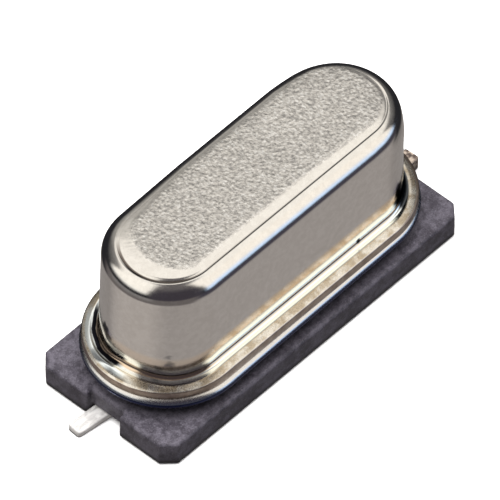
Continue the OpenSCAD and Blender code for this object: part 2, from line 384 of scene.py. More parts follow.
# --------------------------------------------------------------- header ----
def header_profile():
    rim = 0.165                      # radius of the rim's rounded edge
    z0 = RIM_TOP - 2 * rim
    boss = CAN_R - 0.10
    p = [(0.0, PLATE_Z1)]
    p += line((0.5, PLATE_Z1), (boss - 0.03, PLATE_Z1), 3)
    p += arc(boss - 0.03, PLATE_Z1 + 0.03, 0.03, 165, 90, 3)
    p += line((boss, PLATE_Z1 + 0.06), (boss, z0 - 0.06), 4)
    for i in range(5):
        a = math.radians(90 - 90 * i / 4)
        p.append((boss + 0.05 - 0.05 * math.sin(a), z0 - 0.05 + 0.05 * math.cos(a)))
    out = HEAD_R + 0.012 - rim
    p += line((boss + 0.09, z0), (out, z0), 6)
    p += arc(out, z0 + rim, rim, 174, 6, 30)
    p += line((out - 0.04, RIM_TOP - 0.001), (CAN_R - CAN_T - 0.02, RIM_TOP - 0.001), 6)
    top, pr = head_hi[2], CAN_R - CAN_T - 0.04
    p += [(pr, RIM_TOP + 0.02), (pr, top - 0.04), (pr - 0.012, top - 0.012), (pr - 0.04, top)]
    p += line((pr - 0.1, top), (0.4, top), 3)
    p.append((0.0, top))
    return p


def header_lift(x, y, r, z, k, dx, dy):
    # the header is welded on a fraction of a degree askew
    t = 0.013 if r > 2.0 else 0.0
    return (x - t * y + (end_shift(x, r, z) if r > 2.0 else 0.0), y + t * x, z)


header = stadium_loft("header_shell", header_profile(), 72, 48, lift=header_lift)
cut(header, [cylinder_mm("c%d" % s, s * WIRE_X, 0, SEAL_R, 0.4, 3.2) for s in (-1, 1)])


# ----------------------------------------------------- moulded base plate ----
def outline(inset, corner_r):
    """The plate's outline, moved inwards by inset, with every corner rounded by the same number of points."""
    hx, hy, c = base_hi[0], base_hi[1], 0.36
    n, dx = 0.57, base_hi[0] - 0.22
    base = [(hx, n), (hx, hy - c), (hx - c, hy), (-hx + c, hy), (-hx, hy - c), (-hx, n), (-dx, n), (-dx, -n),
            (-hx, -n), (-hx, -hy + c), (-hx + c, -hy), (hx - c, -hy), (hx, -hy + c), (hx, -n), (dx, -n), (dx, n)]
    m = len(base)
    pts = []
    # move each side inwards, and meet the neighbours again
    moved = []
    for i in range(m):
        (x0, y0), (x1, y1) = base[i], base[(i + 1) % m]
        d = math.hypot(x1 - x0, y1 - y0)
        nx, ny = -(y1 - y0) / d, (x1 - x0) / d
        moved.append(((x0 + nx * inset, y0 + ny * inset), ((x1 - x0) / d, (y1 - y0) / d)))
    for i in range(m):
        (p, u), (q, v) = moved[i - 1], moved[i]
        den = u[0] * v[1] - u[1] * v[0]
        t = ((q[0] - p[0]) * v[1] - (q[1] - p[1]) * v[0]) / den
        corner = (p[0] + u[0] * t, p[1] + u[1] * t)
        convex = den > 0
        r = max(0.012, corner_r - inset) if convex else corner_r + inset
        turn = math.asin(max(-1, min(1, den)))
        if u[0] * v[0] + u[1] * v[1] < 0:
            turn = math.copysign(math.pi - abs(turn), turn)
        reach = r * math.tan(abs(turn) / 2)
        s = (corner[0] - u[0] * reach, corner[1] - u[1] * reach)
        side = 1 if convex else -1
        cx, cy = s[0] - u[1] * r * side, s[1] + u[0] * r * side
        a0 = math.atan2(s[1] - cy, s[0] - cx)
        for j in range(7):
            a = a0 + turn * j / 6
            pts.append((cx + r * math.cos(a), cy + r * math.sin(a)))
    return pts


def plate_mesh():
    top_r, low_r = 0.11, 0.03
    levels = []
    for i in range(5):                       # small radius along the underside
        a = math.radians(90 * i / 4)
        levels.append((low_r * (1 - math.sin(a)), PLATE_Z0 + low_r * (1 - math.cos(a))))
    for i in range(1, 7):
        levels.append((0.0, PLATE_Z0 + low_r + (PLATE_Z1 - top_r - PLATE_Z0 - low_r) * i / 7))
    for i in range(9):                       # rounded upper edge
        a = math.radians(90 * i / 8)
        levels.append((top_r * (1 - math.cos(a)), PLATE_Z1 - top_r + top_r * math.sin(a)))
    verts, faces = [], []
    rings = [outline(inset, 0.07) for inset, _ in levels]
    n = len(rings[0])
    for ring, (_, z) in zip(rings, levels):
        verts += [(x, y, z) for x, y in ring]
    for i in range(len(levels) - 1):
        for k in range(n):
            m = (k + 1) % n
            faces.append((i * n + k, i * n + m, (i + 1) * n + m, (i + 1) * n + k))
    faces.append(tuple(reversed(range(n))))
    last = (len(levels) - 1) * n
    faces.append(tuple(range(last, last + n)))
    return new_object("base_plate", verts, faces)


plate = plate_mesh()
wire_r = 0.215
bend_r = 0.32
elbow_z = wire_r + 0.015 + bend_r
cutters = []
for s in (-1, 1):
    cutters.append(cylinder_mm("hole%d" % s, s * WIRE_X, 0, wire_r + 0.035, -0.2, 1.4, 64))
    x0, x1 = sorted((s * (WIRE_X + bend_r - 0.1), s * (base_hi[0] + 0.5)))
    cutters.append(block_mm("chan%d" % s, x0, x1, -0.56, 0.56, -0.4, PLATE_Z0 + 0.22))
    x0, x1 = sorted((s * (WIRE_X - wire_r - 0.08), s * (WIRE_X + bend_r + 0.75)))
    cutters.append(block_mm("pocket%d" % s, x0, x1, -0.56, 0.56, -0.4, elbow_z + 0.06))
cut(plate, cutters)


# ---------------------------------------------------------------- leads ----
def section(w, t, edge, n=8):
    """Closed cross-section, w wide and t thick, with corners of radius edge, as (across, up) points about its centre."""
    e = min(edge, w / 2 - 1e-4, t / 2 - 1e-4)
    out = []
    for cx, cy, a0 in ((w / 2 - e, t / 2 - e, 0), (-w / 2 + e, t / 2 - e, 90), (-w / 2 + e, -t / 2 + e, 180),
                       (w / 2 - e, -t / 2 + e, 270)):
        for i in range(n + 1):
            a = math.radians(a0 + 90 * i / n)
            out.append((cx + e * math.cos(a), cy + e * math.sin(a)))
    return out


def lead_mesh(name, side, skew, reach, pin_top, foot_w, foot_t):
    """A round pin that bends outwards and is flattened into a foot. side is -1 for the left lead."""
    stations = []     # (origin x, z, tilt of the section from flat, width, thickness, edge)
    w0 = 2 * wire_r
    for i in range(14):
        z = pin_top - (pin_top - elbow_z) * i / 13
        stations.append((0.0, z, 90, w0, w0, wire_r))
    for i in range(1, 13):
        a = math.radians(90 * i / 12)
        stations.append((bend_r - bend_r * math.cos(a), elbow_z - bend_r * math.sin(a), 90 - 90 * i / 12,
                         w0, w0, wire_r))
    zc = elbow_z - bend_r
    for i in range(1, 13):
        t = i / 12
        e = t * t * (3 - 2 * t)
        th = w0 + (foot_t - w0) * e
        stations.append((bend_r + 0.75 * t, zc + (foot_t / 2 - zc) * e, 0, w0 + (foot_w - w0) * e, th,
                         wire_r + (0.055 - wire_r) * e))
    x_end = reach
    for i in range(1, 21):
        x = bend_r + 0.75 + (x_end - 0.10 - bend_r - 0.75) * i / 20
        stations.append((x, foot_t / 2, 0, foot_w - 0.10 * (i / 20) ** 2, foot_t, 0.055))
    # sheared tip: corners rounded in plan, upper edge rounded over
    for i in range(1, 10):
        a = math.radians(90 * i / 9)
        shrink = 1 - math.cos(a)
        w = foot_w - 0.10 - 0.16 * shrink
        th = foot_t - 0.05 * max(0.0, (i - 5) / 4)
        stations.append((x_end - 0.10 + 0.10 * math.sin(a), foot_t / 2 - (foot_t - th) * 0.5, 0, w, th, 0.05))
    sections, m = [], None
    verts, faces = [], []
    sk = math.radians(skew)
    for k, (ox, oz, tilt, w, th, edge) in enumerate(stations):
        ta = math.radians(tilt)
        # local axes: across is Y, up turns with the bend
        ux, uz = math.sin(ta), math.cos(ta)
        pts = []
        for across, up in section(w, th, edge):
            px, py, pz = ox + up * ux, across, oz + up * uz
            pz = max(pz, 0.0)
            if abs(ox) > 0 or tilt < 90:
                qx = px * math.cos(sk) - py * math.sin(sk)
                qy = px * math.sin(sk) + py * math.cos(sk)
            else:
                qx, qy = px, py
            pts.append((side * (WIRE_X + qx), qy * (1 if side > 0 else 1), pz))
        m = len(pts)
        verts += pts
    for i in range(len(stations) - 1):
        for k in range(m):
            q = (k + 1) % m
            f = (i * m + k, i * m + q, (i + 1) * m + q, (i + 1) * m + k)
            faces.append(f if side < 0 else tuple(reversed(f)))
    first, last = tuple(range(m)), tuple(range((len(stations) - 1) * m, len(stations) * m))
    faces.append(first if side > 0 else tuple(reversed(first)))
    faces.append(tuple(reversed(last)) if side > 0 else last)
    obj = new_object(name, verts, faces)
    bm = bmesh.new()
    bm.from_mesh(obj.data)
    bmesh.ops.recalc_face_normals(bm, faces=bm.faces)
    bm.to_mesh(obj.data)
    bm.free()
    return obj


lead_left = lead_mesh("lead_left_formed", -1, 5.0, -lead_l_lo[0] - WIRE_X - 0.05, lead_l_hi[2], 0.56, 0.20)
lead_right = lead_mesh("lead_right_formed", 1, 2.4, lead_r_hi[0] - WIRE_X - 0.01, lead_r_hi[2], 0.60, 0.42)


# ------------------------------------------------------------ materials ----
class Graph:
    """Short-hand for building a node tree."""

    def __init__(self, tree):
        self.t = tree

    def node(self, kind, **props):
        n = self.t.nodes.new(kind)
        for k, v in props.items():
            setattr(n, k, v)
        return n

    def put(self, socket, value):
        if isinstance(value, bpy.types.NodeSocket):
            self.t.links.new(value, socket)
        elif value is not None:
            socket.default_value = value

    def math(self, op, a, b=None, c=None, clamp=False):
        n = self.node("ShaderNodeMath", operation=op, use_clamp=clamp)
        self.put(n.inputs[0], a)
        self.put(n.inputs[1], b)
        self.put(n.inputs[2], c)
        return n.outputs[0]

    def vmath(self, op, a, b=None, scale=None):
        n = self.node("ShaderNodeVectorMath", operation=op)
        self.put(n.inputs[0], a)
        self.put(n.inputs[1], b)
        if scale is not None:
            self.put(n.inputs["Scale"], scale)
        return n.outputs["Value"] if op in ("LENGTH", "DISTANCE", "DOT_PRODUCT") else n.outputs["Vector"]

    def ramp(self, v, lo, hi, a=0.0, b=1.0, smooth=True):
        n = self.node("ShaderNodeMapRange", interpolation_type="SMOOTHSTEP" if smooth else "LINEAR")
        self.put(n.inputs["Value"], v)
        self.put(n.inputs["From Min"], lo)
        self.put(n.inputs["From Max"], hi)
        self.put(n.inputs["To Min"], a)
        self.put(n.inputs["To Max"], b)
        return n.outputs["Result"]

    def mix(self, fac, a, b, kind="MIX"):
        n = self.node("ShaderNodeMix", data_type="RGBA", blend_type=kind)
        self.put(n.inputs[0], fac)
        self.put(n.inputs[6], a)
        self.put(n.inputs[7], b)
        return n.outputs[2]

    def blend(self, fac, a, b):
        n = self.node("ShaderNodeMix", data_type="FLOAT")
        self.put(n.inputs[0], fac)
        self.put(n.inputs[2], a)
        self.put(n.inputs[3], b)
        return n.outputs[0]

    def noise(self, vec, scale, detail=2.0, rough=0.5, distort=0.0):
        n = self.node("ShaderNodeTexNoise")
        self.put(n.inputs["Vector"], vec)
        n.inputs["Scale"].default_value = scale
        n.inputs["Detail"].default_value = detail
        n.inputs["Roughness"].default_value = rough
        n.inputs["Distortion"].default_value = distort
        return n.outputs["Fac"]

    def colour_noise(self, vec, scale):
        n = self.node("ShaderNodeTexNoise")
        self.put(n.inputs["Vector"], vec)
        n.inputs["Scale"].default_value = scale
        n.inputs["Detail"].default_value = 2.0
        return n.outputs["Color"]

    def voronoi(self, vec, scale, feature="F1", rand=1.0):
        n = self.node("ShaderNodeTexVoronoi", feature=feature)
        self.put(n.inputs["Vector"], vec)
        n.inputs["Scale"].default_value = scale
        n.inputs["Randomness"].default_value = rand
        return n.outputs["Distance"]

    def bump(self, height, strength, distance, normal=None):
        n = self.node("ShaderNodeBump")
        n.inputs["Strength"].default_value = strength
        n.inputs["Distance"].default_value = distance
        self.put(n.inputs["Height"], height)
        if normal is not None:
            self.put(n.inputs["Normal"], normal)
        return n.outputs["Normal"]

    def coords(self):
        """Object coordinates in millimetres, and their three parts."""
        tc = self.node("ShaderNodeTexCoord")
        mm = self.vmath("SCALE", tc.outputs["Object"], scale=1000.0)
        sep = self.node("ShaderNodeSeparateXYZ")
        self.put(sep.inputs[0], mm)
        return mm, sep.outputs[0], sep.outputs[1], sep.outputs[2]

    def stretched(self, vec, sx, sy, sz):
        return self.vmath("MULTIPLY", vec, (sx, sy, sz))

    def spot(self, vec, centre, radius, soft):
        d = self.vmath("DISTANCE", vec, centre)
        return self.ramp(d, radius - soft, radius + soft, 1.0, 0.0)


def material(name):
    m = bpy.data.materials.new(name)
    m.use_nodes = True
    m.node_tree.nodes.clear()
    g = Graph(m.node_tree)
    out = g.node("ShaderNodeOutputMaterial")
    bsdf = g.node("ShaderNodeBsdfPrincipled")
    g.put(out.inputs["Surface"], bsdf.outputs["BSDF"])
    return m, g, bsdf


def can_material():
    m, g, b = material("nickel_silver_can")
    vec, x, y, z = g.coords()
    # distance from the stadium's spine, for masks that follow its shape
    ax = g.math("MAXIMUM", g.math("SUBTRACT", g.math("ABSOLUTE", x), END_X), 0.0)
    rr = g.math("SQRT", g.math("ADD", g.math("MULTIPLY", ax, ax), g.math("MULTIPLY", y, y)))
    # the same, for the flange, which sits slightly to the left
    sh = g.math("ADD", g.ramp(x, -2.5, -3.7, 0.0, 0.088), g.ramp(x, 2.5, 3.7, 0.0, -0.045))
    af = g.math("MAXIMUM", g.math("SUBTRACT", g.math("SUBTRACT", g.math("ABSOLUTE", x), END_X), sh), 0.0)
    rf = g.math("SQRT", g.math("ADD", g.math("MULTIPLY", af, af), g.math("MULTIPLY", y, y)))
    # height above the feet, levelled for the uneven foot of the wall
    west = g.math("DIVIDE", g.math("MAXIMUM", g.math("SUBTRACT", g.math("MULTIPLY", x, -1.0), END_X), 0.0), rr)
    climb = g.math("POWER", g.math("MAXIMUM", g.math("MULTIPLY_ADD", west, 1 / 0.35, -0.65 / 0.35), 0.0), 1.5)
    climb = g.math("MULTIPLY", climb, g.ramp(g.math("DIVIDE", y, rr), 0.45, 0.0, 0.0, 0.15, smooth=False))
    zf = g.math("SUBTRACT", g.math("ADD", z, g.ramp(x, -3.0, -4.2, 0.0, 0.085)), climb)
    # the relief stops short of the crease: further in at the near end, right up to it behind
    front = g.ramp(g.math("MULTIPLY_ADD", x, 0.33, g.math("MULTIPLY", y, 0.9)), 1.1, -0.9)
    ends = g.ramp(ax, 0.1, 1.0)
    reach = g.math("MULTIPLY", front, g.math("MULTIPLY_ADD", ends, 0.26, 0.20))
    behind = g.math("MULTIPLY", g.ramp(y, 0.2, 1.2), g.ramp(x, -3.4, -1.0, 0.04, 0.17))
    inset = g.math("SUBTRACT", g.math("ADD", g.math("SUBTRACT", CREASE_R, reach), behind), rr)
    top = g.math("MULTIPLY", g.ramp(z, SHOULDER_Z - 0.03, SHOULDER_Z + 0.005), g.ramp(inset, -0.02, 0.12))
    low = g.ramp(zf, FLARE_Z - 0.04, FLARE_Z - 0.10)
    slope = g.math("MULTIPLY", low, g.ramp(rf, CAN_R + 0.19, CAN_R + 0.23))
    slope = g.math("MULTIPLY", slope, g.ramp(rf, EDGE_R - 0.020, EDGE_R - 0.040))
    # the slope is clean beside the gutter at the left end
    clean = g.math("MULTIPLY", g.ramp(x, -3.9, -4.4), g.ramp(y, -0.6, -0.1))
    slope = g.math("MULTIPLY", slope, g.math("SUBTRACT", 1.0, g.math("MULTIPLY", clean, g.ramp(rf, CAN_R + 0.36, CAN_R + 0.30))))
    edge = g.math("MULTIPLY", low, g.ramp(rf, EDGE_R - 0.036, EDGE_R - 0.012))
    # speckle of the coined panel: short dimples that run across the can
    sv = g.stretched(vec, 1.0, 0.85, 0.2)
    s1 = g.noise(sv, 13.0, 2.0, 0.6)
    s2 = g.voronoi(g.stretched(vec, 1.0, 0.9, 0.2), 9.5)
    speck = g.math("ADD", g.math("MULTIPLY", s1, 1.0), g.math("MULTIPLY", s2, 0.60))
    dots = g.noise(g.stretched(vec, 1.0, 1.0, 0.2), 11.0, 2.0, 0.65)
    fine = g.noise(vec, 26.0, 3.0, 0.6)
    cloud = g.noise(vec, 1.2, 3.0, 0.5)
    # colour
    blot = g.noise(vec, 5.0, 4.0, 0.7)
    col = g.mix(cloud, (0.78, 0.752, 0.71, 1), (0.86, 0.835, 0.80, 1))
    col = g.mix(g.ramp(blot, 0.40, 0.62, 0.10, 0.0), col, (0.30, 0.26, 0.22, 1))
    col = g.mix(g.math("MULTIPLY", top, g.ramp(dots, 0.36, 0.50, 1.0, 0.0)), col, (0.53, 0.515, 0.50, 1))
    col = g.mix(g.math("MULTIPLY", top, g.ramp(dots, 0.52, 0.66)), col, (1.0, 0.985, 0.96, 1))
    rust = g.noise(vec, 3.2, 4.0, 0.6)
    # painted warm glow low on the wall, standing in for light bounced up from the flange
    sides = g.ramp(x, -4.2, -3.0, 0.40, 1.0)
    painted_warm_glow = g.math("MULTIPLY", g.ramp(zf, FLARE_Z + 0.70, FLARE_Z + 0.50), sides)
    col = g.mix(painted_warm_glow, col, (1.0, 0.79, 0.56, 1))
    # painted pale highlight band below the glow
    pale = g.math("MULTIPLY", g.ramp(zf, FLARE_Z + 0.36, FLARE_Z + 0.18), sides)
    col = g.mix(pale, col, (0.99, 0.97, 0.85, 1))
    # painted shade: a darker brown line where the wall folds; a clean flare below it; and a painted dark line along the
    # gutter
    fold = g.math("MULTIPLY", g.ramp(zf, FLARE_Z + 0.01, FLARE_Z - 0.02), g.ramp(rf, CAN_R + 0.055, CAN_R + 0.025))
    col = g.mix(g.ramp(rf, CAN_R + 0.030, CAN_R + 0.060), col, (0.93, 0.98, 0.99, 1))
    col = g.mix(fold, col, (0.84, 0.66, 0.49, 1))
    # painted shade: a dark band at the foot of the wall round the left end, strongest at the front
    wall_foot_shade = g.math("MULTIPLY", g.ramp(zf, FLARE_Z + 0.035, FLARE_Z + 0.010), g.ramp(zf, FLARE_Z - 0.050, FLARE_Z - 0.020))
    wall_foot_shade = g.math("MULTIPLY", wall_foot_shade, g.ramp(x, -3.3, -4.1))
    wall_foot_shade = g.math("MULTIPLY", wall_foot_shade, g.ramp(y, -0.2, -0.9, 0.35, 1.0))
    col = g.mix(wall_foot_shade, col, (0.15, 0.11, 0.085, 1))
    # painted shade along the gutter on the long sides
    gutter = g.ramp(g.math("ABSOLUTE", g.math("SUBTRACT", rf, CAN_R + 0.212)), 0.050, 0.018)
    gutter = g.math("MULTIPLY", gutter, g.ramp(ax, 0.5, 0.1))
    col = g.mix(gutter, col, (0.31, 0.32, 0.36, 1))
    # painted shade, near black, in the gutter round the left end
    wob = g.noise(vec, 2.6, 2.0, 0.5)
    left_gutter_shade = g.math("ABSOLUTE", g.math("SUBTRACT", rr, g.math("MULTIPLY_ADD", wob, 0.07, CAN_R + 0.118)))
    left_gutter_shade = g.math("MULTIPLY", g.ramp(left_gutter_shade, 0.074, 0.044), g.ramp(x, -3.6, -4.1))
    left_gutter_shade = g.math("MULTIPLY", g.math("MULTIPLY", left_gutter_shade, g.ramp(y, -0.20, 0.05)), g.ramp(z, FLARE_Z + 0.05, FLARE_Z))
    col = g.mix(left_gutter_shade, col, (0.012, 0.012, 0.016, 1))
    # and painted shade, bluish black, in the fold at the right end
    right_fold_shade = g.math("ABSOLUTE", g.math("SUBTRACT", rr, g.math("MULTIPLY_ADD", wob, 0.07, CAN_R + 0.085)))
    right_fold_shade = g.math("MULTIPLY", g.ramp(right_fold_shade, 0.150, 0.105), g.ramp(x, 3.78, 3.95))
    right_fold_shade = g.math("MULTIPLY", g.math("MULTIPLY", right_fold_shade, g.ramp(y, -0.70, -0.95)), g.ramp(z, FLARE_Z + 0.07, FLARE_Z + 0.01))
    col = g.mix(g.math("MULTIPLY", right_fold_shade, 0.93), col, (0.020, 0.024, 0.034, 1))
    col = g.mix(slope, col, g.mix(g.ramp(rust, 0.38, 0.62), (0.88, 0.83, 0.74, 1), (0.58, 0.49, 0.37, 1)))
    col = g.mix(edge, col, g.mix(g.ramp(rust, 0.3, 0.7), (0.62, 0.52, 0.43, 1), (0.40, 0.31, 0.25, 1)))
    # painted shade in the crease round the top, most of it at the near end
    wide = g.ramp(x, -3.2, -4.2, 0.0, 1.0)
    groove = g.math("ABSOLUTE", g.math("SUBTRACT", rr, g.math("MULTIPLY_ADD", wide, 0.018, GROOVE_R + 0.004)))
    groove = g.ramp(groove, g.math("MULTIPLY_ADD", wide, 0.022, 0.034), g.math("MULTIPLY_ADD", wide, 0.016, 0.012))
    groove = g.math("MULTIPLY", groove, g.ramp(z, SHOULDER_Z - 0.10, SHOULDER_Z - 0.05))
    groove = g.math("MULTIPLY", groove, g.ramp(g.math("MULTIPLY_ADD", x, 0.33, g.math("MULTIPLY", y, 0.9)), -0.2, -1.0))
    groove = g.math("MULTIPLY", groove, g.math("MULTIPLY", g.ramp(ax, 0.0, 0.7, 0.25, 0.92), g.ramp(x, 1.0, -1.0, 0.6, 1.0)))
    col = g.mix(groove, col, (0.11, 0.085, 0.07, 1))
    # dark grey patches painted on the lower wall at both ends
    wall_patches = None
    ragged = g.vmath("ADD", vec, g.vmath("SCALE", g.vmath("SUBTRACT", g.colour_noise(vec, 5.0), (0.5, 0.5, 0.5)), scale=0.22))
    for c, r, s, k in (((-4.53, -1.22, 2.67), 0.06, 0.06, 0.50), ((-4.50, -1.25, 2.38), 0.11, 0.07, 0.62),
                       ((-4.69, -1.02, 2.22), 0.10, 0.07, 0.62), ((-4.88, 0.66, 2.66), 0.17, 0.07, 0.78),
                       ((-4.93, 0.50, 2.46), 0.17, 0.07, 0.74),
                       ((3.84, -1.68, 2.70), 0.15, 0.07, 0.80), ((3.90, -1.65, 2.50), 0.23, 0.08, 0.92),
                       ((4.00, -1.61, 2.28), 0.30, 0.08, 0.95), ((4.38, -1.38, 2.22), 0.30, 0.08, 0.95)):
        d = g.math("MULTIPLY", g.spot(ragged, c, r, s), k)
        wall_patches = d if wall_patches is None else g.math("MAXIMUM", wall_patches, d)
    pit = g.spot(vec, (2.2, -CAN_R - 0.02, FLARE_Z + 0.0), 0.075, 0.025)
    col = g.mix(wall_patches, col, (0.085, 0.095, 0.105, 1))
    col = g.mix(pit, col, (0.015, 0.012, 0.012, 1))
    g.put(b.inputs["Base Color"], col)
    # reflections are darkened too over the wall patches and the painted shade in the left gutter and right fold
    dull = g.math("MAXIMUM", wall_patches, g.math("MAXIMUM", left_gutter_shade, right_fold_shade))
    g.put(b.inputs["Specular Tint"], g.mix(dull, (1.0, 1.0, 1.0, 1), (0.10, 0.10, 0.11, 1)))
    b.inputs["Metallic"].default_value = 1.0
    rough = g.blend(g.ramp(fine, 0.3, 0.7), 0.125, 0.175)
    rough = g.blend(slope, rough, g.blend(g.ramp(fine, 0.35, 0.65), 0.22, 0.36))
    rough = g.blend(edge, rough, 0.40)
    rough = g.blend(top, rough, 0.30)
    g.put(b.inputs["Roughness"], rough)
    n1 = g.bump(g.math("MULTIPLY", speck, top), 1.0, 0.000008)
    n2 = g.bump(fine, 0.5, 0.0000012, n1)
    g.put(b.inputs["Normal"], n2)
    return m


def header_material():
    m, g, b = material("plated_header")
    vec, x, y, z = g.coords()
    cloud = g.noise(vec, 2.0, 3.0, 0.55)
    fine = g.noise(vec, 22.0, 3.0, 0.6)
    col = g.mix(cloud, (0.70, 0.68, 0.65, 1), (0.82, 0.80, 0.77, 1))
    # painted shade on the rim below where the can sits: tinted blue, going dark navy on its lower half
    col = g.mix(g.ramp(z, RIM_TOP - 0.02, RIM_TOP - 0.12), col, (0.50, 0.57, 0.70, 1))
    col = g.mix(g.ramp(z, RIM_TOP - 0.085, RIM_TOP - 0.135), col, (0.025, 0.033, 0.095, 1))
    # painted shade on the boss under the rim, darker down towards the plate
    low = g.ramp(z, RIM_Z0 - 0.02, PLATE_Z1 + 0.02)
    col = g.mix(g.math("MULTIPLY", low, 0.75), col, (0.12, 0.11, 0.11, 1))
    g.put(b.inputs["Base Color"], col)
    b.inputs["Metallic"].default_value = 1.0
    g.put(b.inputs["Roughness"], g.blend(g.ramp(fine, 0.3, 0.7), 0.20, 0.30))
    g.put(b.inputs["Normal"], g.bump(cloud, 0.6, 0.0000060))
    return m


def plate_material():
    m, g, b = material("moulded_plastic")
    vec, x, y, z = g.coords()
    cloud = g.noise(vec, 1.4, 4.0, 0.6)
    mid = g.noise(vec, 5.0, 3.0, 0.6)
    fine = g.noise(vec, 24.0, 4.0, 0.65)
    mott = g.math("ADD", g.math("MULTIPLY", cloud, 0.4), g.math("MULTIPLY", mid, 0.6))
    col = g.mix(g.ramp(mott, 0.38, 0.62), (0.037, 0.033, 0.042, 1), (0.093, 0.085, 0.104, 1))
    col = g.mix(g.math("MULTIPLY", g.ramp(fine, 0.54, 0.70), 0.6), col, (0.150, 0.141, 0.165, 1))
    col = g.mix(g.math("MULTIPLY", g.ramp(fine, 0.46, 0.34), 0.6), col, (0.018, 0.016, 0.022, 1))
    # painted shade: the foot of the sides is darker, where it meets the board
    col = g.mix(g.ramp(z, PLATE_Z0 + 0.19, PLATE_Z0 + 0.05, 0.0, 0.85), col, (0.006, 0.006, 0.007, 1))
    g.put(b.inputs["Base Color"], col)
    g.put(b.inputs["Roughness"], g.blend(g.ramp(mid, 0.3, 0.7), 0.50, 0.66))
    b.inputs["Specular IOR Level"].default_value = 0.42
    n1 = g.bump(fine, 0.8, 0.000007)
    n2 = g.bump(mid, 0.5, 0.000010, n1)
    g.put(b.inputs["Normal"], n2)
    return m


def lead_material():
    m, g, b = material("tinned_lead")
    vec, x, y, z = g.coords()
    flow = g.noise(g.stretched(vec, 0.6, 1.6, 1.6), 5.0, 3.0, 0.55, 0.6)
    fine = g.noise(vec, 30.0, 2.0, 0.5)
    col = g.mix(g.ramp(flow, 0.35, 0.65), (0.66, 0.645, 0.63, 1), (0.93, 0.92, 0.90, 1))
    # flux residue on the right lead, and a painted shade line where a foot meets the board
    blot = g.noise(vec, 6.0, 3.0, 0.6)
    burnt = g.mix(g.ramp(blot, 0.36, 0.62), (0.10, 0.075, 0.065, 1), (0.56, 0.47, 0.39, 1))
    col = g.mix(g.ramp(x, 5.2, 5.7), col, burnt)
    col = g.mix(g.ramp(z, 0.09, 0.02), col, (0.16, 0.155, 0.16, 1))
    g.put(b.inputs["Base Color"], col)
    b.inputs["Metallic"].default_value = 0.55
    g.put(b.inputs["Roughness"], g.blend(g.ramp(flow, 0.3, 0.7), 0.36, 0.52))
    n1 = g.bump(flow, 0.7, 0.000012)
    g.put(b.inputs["Normal"], g.bump(fine, 0.4, 0.000002, n1))
    return m


def seal_material():
    m, g, b = material("sealing_glass")
    vec, x, y, z = g.coords()
    cloud = g.noise(vec, 4.0, 3.0, 0.5)
    bubbles = g.voronoi(vec, 11.0)
    col = g.mix(cloud, (0.045, 0.085, 0.075, 1), (0.10, 0.17, 0.15, 1))
    g.put(b.inputs["Base Color"], col)
    g.put(b.inputs["Roughness"], g.blend(cloud, 0.10, 0.22))
    b.inputs["IOR"].default_value = 1.55
    g.put(b.inputs["Normal"], g.bump(g.ramp(bubbles, 0.0, 0.25), 0.4, 0.000004))
    return m


def clip_material():
    m, g, b = material("clip_strip")
    vec, x, y, z = g.coords()
    drawn = g.noise(g.stretched(vec, 0.4, 7.0, 3.0), 6.0, 3.0, 0.6)
    cloud = g.noise(vec, 2.2, 3.0, 0.5)
    g.put(b.inputs["Base Color"], g.mix(cloud, (0.62, 0.60, 0.56, 1), (0.74, 0.72, 0.69, 1)))
    b.inputs["Metallic"].default_value = 1.0
    g.put(b.inputs["Roughness"], g.blend(drawn, 0.20, 0.36))
    g.put(b.inputs["Normal"], g.bump(drawn, 0.5, 0.0000015))
    return m


def quartz_material():
    m, g, b = material("lapped_quartz")
    vec, x, y, z = g.coords()
    lap = g.noise(vec, 30.0, 3.0, 0.6)
    cloud = g.noise(vec, 1.0, 2.0, 0.5)
    g.put(b.inputs["Base Color"], g.mix(cloud, (0.86, 0.90, 0.93, 1), (0.93, 0.95, 0.97, 1)))
    b.inputs["Transmission Weight"].default_value = 0.75
    b.inputs["IOR"].default_value = 1.544
    g.put(b.inputs["Roughness"], g.blend(lap, 0.22, 0.38))
    g.put(b.inputs["Normal"], g.bump(lap, 0.5, 0.0000015))
    return m


def silver_material():
    m, g, b = material("silver_film")
    vec, x, y, z = g.coords()
    cloud = g.noise(vec, 2.5, 3.0, 0.5)
    fine = g.noise(vec, 28.0, 2.0, 0.5)
    g.put(b.inputs["Base Color"], g.mix(cloud, (0.86, 0.85, 0.83, 1), (0.95, 0.945, 0.93, 1)))
    b.inputs["Metallic"].default_value = 1.0
    g.put(b.inputs["Roughness"], g.blend(fine, 0.18, 0.30))
    g.put(b.inputs["Normal"], g.bump(fine, 0.4, 0.000001))
    return m


def adhesive_material():
    m, g, b = material("silver_adhesive")
    vec, x, y, z = g.coords()
    lump = g.noise(vec, 7.0, 3.0, 0.6)
    flake = g.voronoi(vec, 30.0)
    g.put(b.inputs["Base Color"], g.mix(g.ramp(flake, 0.1, 0.6), (0.62, 0.60, 0.56, 1), (0.42, 0.40, 0.37, 1)))
    b.inputs["Metallic"].default_value = 0.35
    g.put(b.inputs["Roughness"], g.blend(lump, 0.42, 0.62))
    g.put(b.inputs["Normal"], g.bump(lump, 0.6, 0.000012))
    return m


def dress(obj, mat):
    obj.data.materials.clear()
    obj.data.materials.append(mat)


for piece, mat, nodes, slot in (
    (can, can_material(), ["can"], "can"),
    (header, header_material(), ["header"], "header"),
    (plate, plate_material(), ["insulator_base"], "insulator_base"),
):
    dress(piece, mat)
    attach(piece, "root")
    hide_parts(*nodes)

tin = lead_material()
for piece, node in ((lead_left, "lead_left"), (lead_right, "lead_right")):
    dress(piece, tin)
    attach(piece, "root")
    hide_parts(node)

